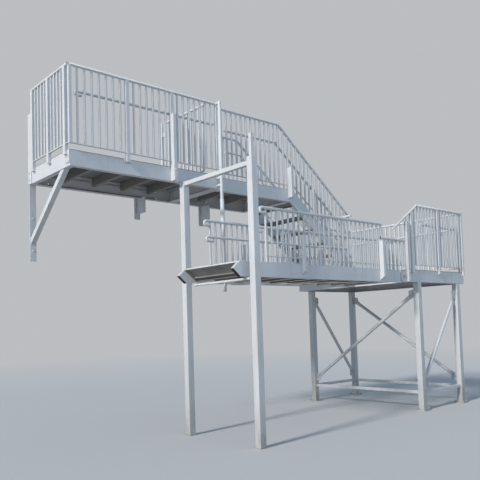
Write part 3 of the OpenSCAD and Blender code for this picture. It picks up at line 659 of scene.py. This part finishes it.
def tread_outline():
    """Folded tread plate: lips turned down and in, and pressed ribs; p runs back from the nosing, q up."""
    pitch = (RIBS_TO - RIBS_FROM) / RIBS
    ribs = []
    for i in range(RIBS):
        p = RIBS_FROM + (i + 0.5) * pitch
        ribs += [(p - RIB_FOOT_HALF, PLATE_TOP), (p - RIB_TOP_HALF, PLATE_TOP + RIB_RISE),
                 (p + RIB_TOP_HALF, PLATE_TOP + RIB_RISE), (p + RIB_FOOT_HALF, PLATE_TOP)]
    below = PLATE_TOP - PLATE_T
    deep = PLATE_T - TREAD_H
    lip = PLATE_T - NOSING_LIP
    top = [(NOSING_T, PLATE_TOP)] + ribs
    top += [(TREAD_DEPTH + PLATE_TOP, PLATE_TOP), (TREAD_DEPTH, 2 * PLATE_TOP)]
    back = [(TREAD_DEPTH, -TREAD_H), (TREAD_DEPTH - LIP_RETURN, -TREAD_H), (TREAD_DEPTH - LIP_RETURN, deep),
            (TREAD_DEPTH - PLATE_T, deep)]
    under = [(TREAD_DEPTH - PLATE_T, below)] + [(p, q - PLATE_T) for p, q in reversed(ribs)]
    nose = [(NOSING_T + PLATE_T, below), (NOSING_T + PLATE_T, lip), (LIP_RETURN, lip),
            (LIP_RETURN, -NOSING_LIP), (NOSING_T, -NOSING_LIP)]
    return top + back + under + nose


def upright_plate(p0, p1, q0, q1):
    """A rectangle in the tread's section."""
    return ((p0, q1), (p1, q1), (p1, q0), (p0, q0))


NOSING = ((0, -2), (2, 0), (NOSING_REACH - 2, 0), (NOSING_REACH, PLATE_TOP), (NOSING_T, PLATE_TOP),
          (NOSING_T, -NOSING_LIP), (0, -NOSING_LIP))
STIFFENER = upright_plate(STIFFENER_AT, STIFFENER_AT + STIFFENER_T, STIFFENER_LOW, STIFFENER_HIGH)
END_PLATE = upright_plate(NOSING_T, TREAD_DEPTH, -TREAD_H, PLATE_TOP)


def add_tread(plates, nosings, place, y0, y1):
    """One tread between two stringers; place turns a point of the tread's section into X and Z."""
    inside = y0 + PLATE_T, y1 - PLATE_T
    for piece, outline, ends in ((plates, tread_outline(), inside), (plates, STIFFENER, inside),
                                 (nosings, NOSING, inside), (plates, END_PLATE, (y0, inside[0])),
                                 (plates, END_PLATE, (inside[1], y1))):
        piece.profile([place(p, q) for p, q in outline], *ends)


def tread_pieces(flight, body, slot):
    """The plates, which replace the flight's treads, and the nosings, still empty."""
    return (Piece(f"{flight}_tread_plates", body, slot, tread),
            Piece(f"{flight}_tread_nosings", body, slot, white))


def fixed_treads():
    plates, nosings = tread_pieces("upper", "stair", "fixed_treads")
    y0, y1 = span("upper_treads", "Y")
    for i in range(1, UPPER_TREADS + 1):
        nose_x = DECK_EDGE + i * GOING
        top = DECK - i * RISER
        add_tread(plates, nosings, lambda p, q: (nose_x - p, top + q), y0, y1)
    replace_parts(plates.done(0.0008), "upper_treads")
    nosings.done(0.0006)


def moving_treads():
    """Treads that are level when the flight is down, and so tilt by FOLD when it is stored."""
    cos_fold, sin_fold = math.cos(FOLD), math.sin(FOLD)
    half_h = STRINGER_TOP - PIVOT_Z
    first = PIVOT_Z - FOOT_CORNER * sin_fold + half_h * cos_fold
    step = (LANDING - first) / LOWER_TREADS / sin_fold
    plates, nosings = tread_pieces("lower", "lower_flight", "flight_treads")
    for i in range(LOWER_TREADS):
        x = PIVOT_X - FOOT_CORNER + i * step
        add_tread(plates, nosings,
                  lambda p, q: (x + p * cos_fold + q * sin_fold, STRINGER_TOP - p * sin_fold + q * cos_fold),
                  NEAR_INSIDE, FAR_INSIDE)
    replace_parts(plates.done(0.0008), "lower_treads")
    nosings.done(0.0006)


# Guards of the lower flight
RAIL_D, HAND_D, BALUSTER, ARM_D = 42, 34, 22, 14
GUARD_H, LOW_GUARD_SHARE = 728, 0.673
HAND_DROP, HAND_OFFSET = 268, 85
TOP_BEND_R, HAND_BEND_R, BEND_AHEAD, HAND_LEAD = 32, 29, 53, 36
TOE_GAP, TOE_H = 70, 12
BALUSTER_STEP, BRACKET_EVERY = 104, 8
GUARD_START, GUARD_MID = 2023, 4506
GUARD_STOP = span("lower_near_guard", "X")[1]
# Each stanchion: X, depth, and its foot and head above the stringer
STANCHIONS = ((GUARD_START + 672, 50, -140, 406), (GUARD_MID - 61, 78, -170, 440))
STANCHION_HALF, FOOT_CUT, CAP_T, CAP_EDGE = 25, 42, 3, 2


def returned_rail(piece, x_end, x_bend, x_stop, y, z, r, d):
    """A round rail that turns down at its end and comes back below itself."""
    angles = [math.pi * k / 10 for k in range(11)]
    bend = [(x_bend - r * math.sin(a), y, z - r + r * math.cos(a)) for a in angles]
    piece.pipe([(x_end, y, z)] + bend + [(x_stop, y, z - 2 * r)], d / 2)


def balusters(piece, plane, top, low_top):
    """Square bars along the guard; past the stringer's end they stop at the toe rail.

    Returns the middles of the high run's bars in X.
    """
    half = BALUSTER / 2

    def bar(x, low, high):
        piece.block((x, plane - half, low), (x + BALUSTER, plane + half, high))
        if low == STRINGER_TOP:
            piece.weld_ring((x + half, plane, STRINGER_TOP), half, 4)

    n = round((GUARD_MID - GUARD_START - BALUSTER) / BALUSTER_STEP)
    step = (GUARD_MID - GUARD_START - BALUSTER) / n
    for i in range(n + 1):
        bar(GUARD_START + i * step, STRINGER_TOP, top)
    low_n = round((GUARD_STOP - GUARD_MID) / BALUSTER_STEP)
    low_step = (GUARD_STOP - GUARD_MID) / low_n
    for i in range(1, low_n + 1):
        x = GUARD_MID - BALUSTER + i * low_step
        past_end = x + BALUSTER > STRINGER_END
        bar(x, STRINGER_TOP + TOE_GAP if past_end else STRINGER_TOP, low_top)
    return [GUARD_START + half + i * step for i in range(n + 1)]


def handrail_bracket(piece, x, plane, hand_y, out, hand):
    """A bent rod from a baluster to the underside of the handrail."""
    low = hand - HAND_D
    bend = [(x, hand_y + out * 12, low), (x, hand_y + out * 3, low + 4)]
    piece.pipe([(x, plane, low), *bend, (x, hand_y, hand - 12)], ARM_D / 2, 10)


def stanchion(piece, x, depth, low, high, face, out):
    """An upright plate outside the stringer, with its lower corner cut and a cap on top."""
    outer = face + out * depth
    side_view = ((face, low), (face + out * 8, low), (outer, low + FOOT_CUT), (outer, high - CAP_T),
                 (face, high - CAP_T))
    piece.solid([[(at, y, z) for y, z in side_view] for at in (x - STANCHION_HALF, x + STANCHION_HALF)])
    cap_half = STANCHION_HALF + CAP_EDGE
    piece.block((x - cap_half, face, high - CAP_T), (x + cap_half, outer + out * CAP_EDGE, high))


def lower_guard(name, node, face, out):
    """face is the stringer's outer face in Y, out is -1 on the near side and 1 on the far side."""
    half = BALUSTER / 2
    plane = face - out * half
    hand_y = face - out * (half + HAND_OFFSET)
    top = STRINGER_TOP + GUARD_H - RAIL_D / 2
    hand = STRINGER_TOP + GUARD_H - HAND_DROP
    low_top = STRINGER_TOP + LOW_GUARD_SHARE * GUARD_H
    toe = STRINGER_TOP + TOE_GAP
    piece = Piece(name, "lower_flight", "flight_guards", white)
    bars = balusters(piece, plane, top, low_top)
    piece.block((GUARD_START, plane - half + 1, toe), (GUARD_STOP, plane + half - 1, toe + TOE_H))
    bend_x = GUARD_START - BEND_AHEAD
    stop = GUARD_START + half
    returned_rail(piece, GUARD_MID, bend_x, stop, plane, top, TOP_BEND_R, RAIL_D)
    returned_rail(piece, GUARD_MID, bend_x - HAND_LEAD, stop, hand_y, hand, HAND_BEND_R, HAND_D)
    piece.pipe([(GUARD_MID - BALUSTER, plane, low_top), (GUARD_STOP, plane, low_top)], RAIL_D / 2)
    for x in bars[::BRACKET_EVERY]:
        handrail_bracket(piece, x, plane, hand_y, out, hand)
    for x, depth, low, high in STANCHIONS:
        stanchion(piece, x, depth, STRINGER_TOP + low, STRINGER_TOP + high, face, out)
    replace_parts(piece.done(0.0012), node)


# Foot of the lower flight
BAR_R, BAR_DROP, BAR_PAST_NEAR = 18, 129, 46
COLLAR_L, COLLAR_FROM_FAR, SPIGOT_L, SPIGOT_R = 60, 88, 6, 13
STRAP_T, STRAP_HALF = 8, 21
PULL_R, PULL_Y, PULL_LOW = 7, -2182, 62
PAD_T, PAD_INSET = 12, 2


def saddle(piece, z, y_web, y_strap, web_half):
    """A strap under the stringer and a web that carries the bar."""
    strap_low = STRINGER_LOW - STRAP_T
    piece.block((GOAL_X - STRAP_HALF, y_strap[0], strap_low), (GOAL_X + STRAP_HALF, y_strap[1], STRINGER_LOW))
    piece.block((GOAL_X - web_half, y_web[0], z), (GOAL_X + web_half, y_web[1], strap_low))


def foot_bar():
    """Round bar under the foot of the flight, in a saddle at each stringer, with a collar at its far end."""
    piece = Piece("foot_bar_tube", "lower_flight", "flight_bar", white)
    z = PIVOT_Z - BAR_DROP
    far_end = FAR - COLLAR_FROM_FAR
    bar_start = far_end - COLLAR_L - SPIGOT_L
    bar_length = bar_start - (NEAR - BAR_PAST_NEAR)
    collar_r = BAR_R + 4
    piece.round((GOAL_X, far_end, z), TOWARDS_VIEW,
                [(0, BAR_R - 2), (3, collar_r), (COLLAR_L - 3, collar_r), (COLLAR_L, collar_r - 3),
                 (COLLAR_L, SPIGOT_R), (COLLAR_L + SPIGOT_L + 2, SPIGOT_R)], 24)
    piece.round((GOAL_X, bar_start, z), TOWARDS_VIEW,
                [(0, BAR_R), (bar_length - 3, BAR_R), (bar_length, BAR_R - 3)], 24)
    saddle(piece, z, (far_end - 12, far_end - 48), (FAR - 8, far_end - 70), 10)
    saddle(piece, z, (NEAR + 10, NEAR + 44), (NEAR + 6, NEAR + 60), 12)
    piece.pipe([(GOAL_X, PULL_Y, z - BAR_R + 3), (GOAL_X, PULL_Y, z - PULL_LOW)], PULL_R)
    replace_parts(piece.done(0.001), "foot_bar")


def foot_pads():
    """Rubber on the slanted feet of both stringers."""
    pads = Piece("foot_pads", "lower_flight", "flight_stringers", rubber)
    tip = Vector((STRINGER_START, PIVOT_Z))
    heel = Vector((PIVOT_X - FOOT_CORNER, STRINGER_LOW))
    run = (heel - tip).normalized()
    down = Vector((run.y, -run.x)) * PAD_T
    start = tip + run * 4
    end = heel - run * 2
    outline = [tuple(p) for p in (start, end, end + down, start + down)]
    for inner, outer in ((NEAR, NEAR_INSIDE), (FAR_INSIDE, FAR)):
        pads.profile(outline, inner + PAD_INSET, outer - PAD_INSET)
    pads.done(0.002, 2)


# Bolts of the fixed stair
STANCHION_X = span("balcony_stanchions", "X")[1] - 25
STANCHION_FACE = span("balcony_stanchions", "Y")[0]
# Stanchions of the walkway and the upper flight: X, depth and the heights of their bolts
UPPER_STANCHIONS = ((span("upper_stanchions", "X")[0] + 25, 100, (3660, 3735)),
                    (span("upper_stanchions", "X")[1] - 25, 50, (3345, 3400)))
END_POST_X, END_POST_BOLTS_Y = -10, (-1205, -1268)
WALL_STANCHION_X, WALL_STANCHION_Y = -12, -55
FRONT_FOOT_X, FRONT_FOOT_HALF, FRONT_FOOT_T = 812, 42, 10
LEG_X = sum(span("strut_wall_leg", "X")) / 2
LEG_LOW = span("strut_wall_leg", "Z")[0]
BRACKET_X = (span("wall_brackets", "X")[0] + 50, span("wall_brackets", "X")[1] - 50)
BRACKET_BOLT_OUT = 30
WALL_PLATE_FACE = span("strut_wall_leg", "Y")[0]
HINGE_POST_X, HINGE_POST_FACE = 5152, span("hinge_cheeks", "Y")[0]
CHEEK_BOLTS_X = (5195, 5228)


def stair_bolts():
    """Bolts of the stanchions, end posts, hinge post and cheeks, strut leg and wall brackets."""
    bolts = Piece("stair_bolts", "stair", "stanchions", white)
    for z in (DECK_LOW + 45, DECK_LOW + 155):
        bolts.bolt((STANCHION_X, STANCHION_FACE, z), TOWARDS_VIEW, M14)
    for x, depth, heights in UPPER_STANCHIONS:
        for z in heights:
            bolts.bolt((x, WALK - depth, z), TOWARDS_VIEW, M12)
    for z in (DECK - 90, DECK - 145):
        for y in END_POST_BOLTS_Y:
            bolts.bolt((END_POST_X, y, z), LEFT, M12)
    for x in (FRONT_FOOT_X - FRONT_FOOT_HALF, FRONT_FOOT_X + FRONT_FOOT_HALF):
        bolts.bolt((x, FRONT - FRONT_FOOT_T, DECK - 22), TOWARDS_VIEW, M10)
    for z in (DECK_LOW + 60, DECK_LOW + 150):
        bolts.bolt((WALL_STANCHION_X, WALL_STANCHION_Y, z), LEFT, M14)
    for z in (LANDING_LOW + 60, LANDING_LOW + 165):
        bolts.bolt((HINGE_POST_X, HINGE_POST_FACE, z), TOWARDS_VIEW, M14)
    for x in CHEEK_BOLTS_X:
        for z in (LANDING_LOW + 45, LANDING_LOW + 140):
            bolts.bolt((x, NEAR, z), TOWARDS_VIEW, M12)
            bolts.bolt((x, FAR, z), AWAY, M12)
    for z in (LEG_LOW + 150, LEG_LOW + 600):
        bolts.bolt((LEG_X, WALL_PLATE_FACE, z), TOWARDS_VIEW, M16, stud=12)
    for x in BRACKET_X:
        for side in (-BRACKET_BOLT_OUT, BRACKET_BOLT_OUT):
            for z in (DECK_LOW - 290, DECK_LOW - 60):
                bolts.bolt((x + side, WALL_PLATE_FACE, z), TOWARDS_VIEW, M14, stud=10)
    bolts.done(smooth=True)


# Tower
BRACE_LOW, BRACE_HIGH = 440, LANDING_LOW - 170
STRUT_R, STRUT_FLAT, STRUT_T, STRUT_TAPER = 30, 150, 8, 90
STRUT_SIDES, FLAT_WIDENING = 20, 0.35
GUSSET_L, GUSSET_H, GUSSET_T = 120, 130, 8
GUSSET_BACK = 5
# Each bolt of a gusset: distance from the post, and along it from the plate's middle
GUSSET_BOLTS = ((38, 22), (84, 52))
BASE_T, ANCHOR_OUT, ANCHOR_STUD = 15, 70, 18


def add_strut(piece, foot, way, reach):
    """A tube pressed flat at both ends, from the face of one post to the face of the next."""
    dx, dy = way
    run = Vector((dx * reach, dy * reach, BRACE_HIGH - BRACE_LOW))
    length, ahead = run.length, run.normalized()
    side = Vector((abs(dy), abs(dx), 0))
    up = ahead.cross(side)
    stations = ((0, 0), (STRUT_FLAT, 0), (STRUT_FLAT + STRUT_TAPER / 2, 0.6), (STRUT_FLAT + STRUT_TAPER, 1))
    stations += tuple((length - at, roundness) for at, roundness in reversed(stations))
    rings = []
    for at, roundness in stations:
        thin = STRUT_T / 2 + (STRUT_R - STRUT_T / 2) * roundness
        wide = STRUT_R * (1 + FLAT_WIDENING * (1 - roundness))
        centre = Vector(foot) + ahead * at
        ring = []
        for k in range(STRUT_SIDES):
            a = 2 * math.pi * k / STRUT_SIDES
            p = centre + side * math.cos(a) * thin + up * math.sin(a) * wide
            if at in (0, length):
                # The ends are cut flush with the post's face
                past = (p - centre).x * dx + (p - centre).y * dy
                p -= ahead * (past / (ahead.x * dx + ahead.y * dy))
            ring.append(tuple(p))
        rings.append(ring)
    piece.solid(rings)


def tower_braces():
    """One strut across each side of the tower."""
    piece = Piece("tower_brace_struts", "stair", "tower", strut)
    (x0, x1), (y0, y1) = POST_X, POST_Y
    reach_x = x1 - x0 - 2 * POST_HALF
    reach_y = y1 - y0 - 2 * POST_HALF
    for x, y, way, reach in ((x0 + POST_HALF, y0, (1, 0), reach_x), (x1 - POST_HALF, y1, (-1, 0), reach_x),
                             (x0, y1 - POST_HALF, (0, -1), reach_y), (x1, y0 + POST_HALF, (0, 1), reach_y)):
        add_strut(piece, (x, y, BRACE_LOW), way, reach)
    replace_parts(piece.done(smooth=True), "tower_braces")


def gusset(plates, bolts, root, way, rise):
    """A corner plate with two bolts beside a brace's end: root is on the post, way points into the bay."""
    x, y, z = root
    dx, dy = way
    normal = TOWARDS_VIEW if dx else LEFT
    nx, ny = normal[:2]

    def at(p, q, k):
        return x + dx * p + nx * k, y + dy * p + ny * k, z + rise * q

    half = GUSSET_H / 2
    outline = ((0, -half), (GUSSET_L, 30 - half), (GUSSET_L, half + 10), (0, half + 30))
    plates.solid([[at(p, q, k) for p, q in outline] for k in (0, GUSSET_T)])
    for p, q in GUSSET_BOLTS:
        bolts.bolt(at(p, q, GUSSET_T), normal, M12)


def tower_details():
    """Welds and anchors at the posts' feet, and a gusset plate at each end of each brace."""
    plates = Piece("tower_gussets", "stair", "tower", post)
    bolts = Piece("tower_fixings", "stair", "tower", zinc)
    for x in POST_X:
        for y in POST_Y:
            plates.weld_ring((x, y, BASE_T), POST_HALF)
            for dx in (-ANCHOR_OUT, ANCHOR_OUT):
                for dy in (-ANCHOR_OUT, ANCHOR_OUT):
                    bolts.bolt((x + dx, y + dy, BASE_T), UP, M16, stud=ANCHOR_STUD)
    (x0, x1), (y0, y1) = POST_X, POST_Y
    (left, right), (near, far) = (x0 + POST_HALF, x1 - POST_HALF), (y0 + POST_HALF, y1 - POST_HALF)
    for x, y, way, z in ((left, y0, (1, 0), BRACE_LOW), (right, y0, (-1, 0), BRACE_HIGH),
                         (left, y1, (1, 0), BRACE_HIGH), (right, y1, (-1, 0), BRACE_LOW),
                         (x0, near, (0, 1), BRACE_HIGH), (x0, far, (0, -1), BRACE_LOW),
                         (x1, near, (0, 1), BRACE_LOW), (x1, far, (0, -1), BRACE_HIGH)):
        back_x, back_y = (0, GUSSET_BACK) if way[0] else (GUSSET_BACK, 0)
        gusset(plates, bolts, (x - back_x, y - back_y, z), way, 1 if z == BRACE_LOW else -1)
    plates.done(0.0015)
    bolts.done(smooth=True)


# Goal frame
CROSSBAR_HALF = 30
MAST_FOOT, MAST_HALF, MAST_CAP_R, MAST_CAP_T = 3600, 22.5, 27, 3
MAST_TOP = span("goal_post_outer", "Z")[1]


def goal_details():
    """Welds where the crossbar meets the posts, and round the mast's foot, and the mast's cap."""
    welds = Piece("goal_frame_welds", "stair", "goal_frame", post)
    low, leg = DECK_LOW - 2 * CROSSBAR_HALF, 6

    def frame_round_bar(y, grow):
        half = CROSSBAR_HALF + grow
        return [(GOAL_X - half, y, low - grow), (GOAL_X + half, y, low - grow), (GOAL_X + half, y, DECK_LOW),
                (GOAL_X - half, y, DECK_LOW)]

    for y, out in ((GOAL_IN - POST_HALF, -1), (GOAL_OUT + POST_HALF, 1)):
        welds.solid([frame_round_bar(y, leg), frame_round_bar(y + out * leg, 0), frame_round_bar(y, 0)])
    welds.weld_ring((GOAL_X, GOAL_OUT, MAST_FOOT), MAST_HALF, leg)
    cap = [(-MAST_CAP_T, MAST_CAP_R), (0, MAST_CAP_R)]
    welds.round((GOAL_X, GOAL_OUT, MAST_TOP), UP, cap, 4, math.pi / 4)
    welds.done()


def flight_details():
    """Bolts through the flight's stanchions, and the pins' ends with their washers."""
    bolts = Piece("flight_bolts", "lower_flight", "flight_guards", white)
    for x, depth, _, _ in STANCHIONS:
        for z in (STRINGER_TOP - 30, STRINGER_TOP - 95):
            bolts.bolt((x, NEAR - depth, z), TOWARDS_VIEW, M12)
            bolts.bolt((x, FAR + depth, z), AWAY, M12)
    bolts.done(smooth=True)
    pins = Piece("hinge_washers", "stair", "hinge_steel", zinc)
    for y, out in ((NEAR - 8, TOWARDS_VIEW), (FAR + 8, AWAY)):
        pins.round((PIVOT_X, y, PIVOT_Z), out, [(-6, 30), (-2, 30), (-2, 25), (0.5, 24)], 24)
        pins.round((PIVOT_X, y, PIVOT_Z), out, [(-0.5, 9), (3, 9), (4, 7)], 12)
    pins.done(smooth=True)


SCREW_EDGE, SCREW_STEP, SCREW_R = 40, 300, 9


def evenly(start, end):
    """Places along an edge, about a step apart."""
    n = round((end - start - 2 * SCREW_EDGE) / SCREW_STEP)
    return [start + SCREW_EDGE + i * (end - start - 2 * SCREW_EDGE) / n for i in range(n + 1)]


def deck_screws():
    """Screw heads round the edge of each deck plate."""
    piece = Piece("deck_screws", "stair", "deck_plates", zinc)
    for x0, x1, y0, y1, z in ((0, BALCONY_END, FRONT, 0, DECK), (BALCONY_END, DECK_EDGE, WALK, 0, DECK),
                              (LANDING_START, LANDING_END, NEAR, WALL, LANDING)):
        xs, ys = evenly(x0, x1), evenly(y0, y1)
        for x in xs:
            for y in ys:
                if x in (xs[0], xs[-1]) or y in (ys[0], ys[-1]):
                    piece.round((x, y, z), UP, [(-1, SCREW_R), (1.2, SCREW_R), (2.2, SCREW_R - 2)], 10)
    piece.done(smooth=True)


fixed_treads()
moving_treads()
lower_guard("lower_near_guard_rails", "lower_near_guard", NEAR, -1)
lower_guard("lower_far_guard_rails", "lower_far_guard", FAR, 1)
foot_bar()
foot_pads()
stair_bolts()
tower_braces()
tower_details()
goal_details()
flight_details()
deck_screws()
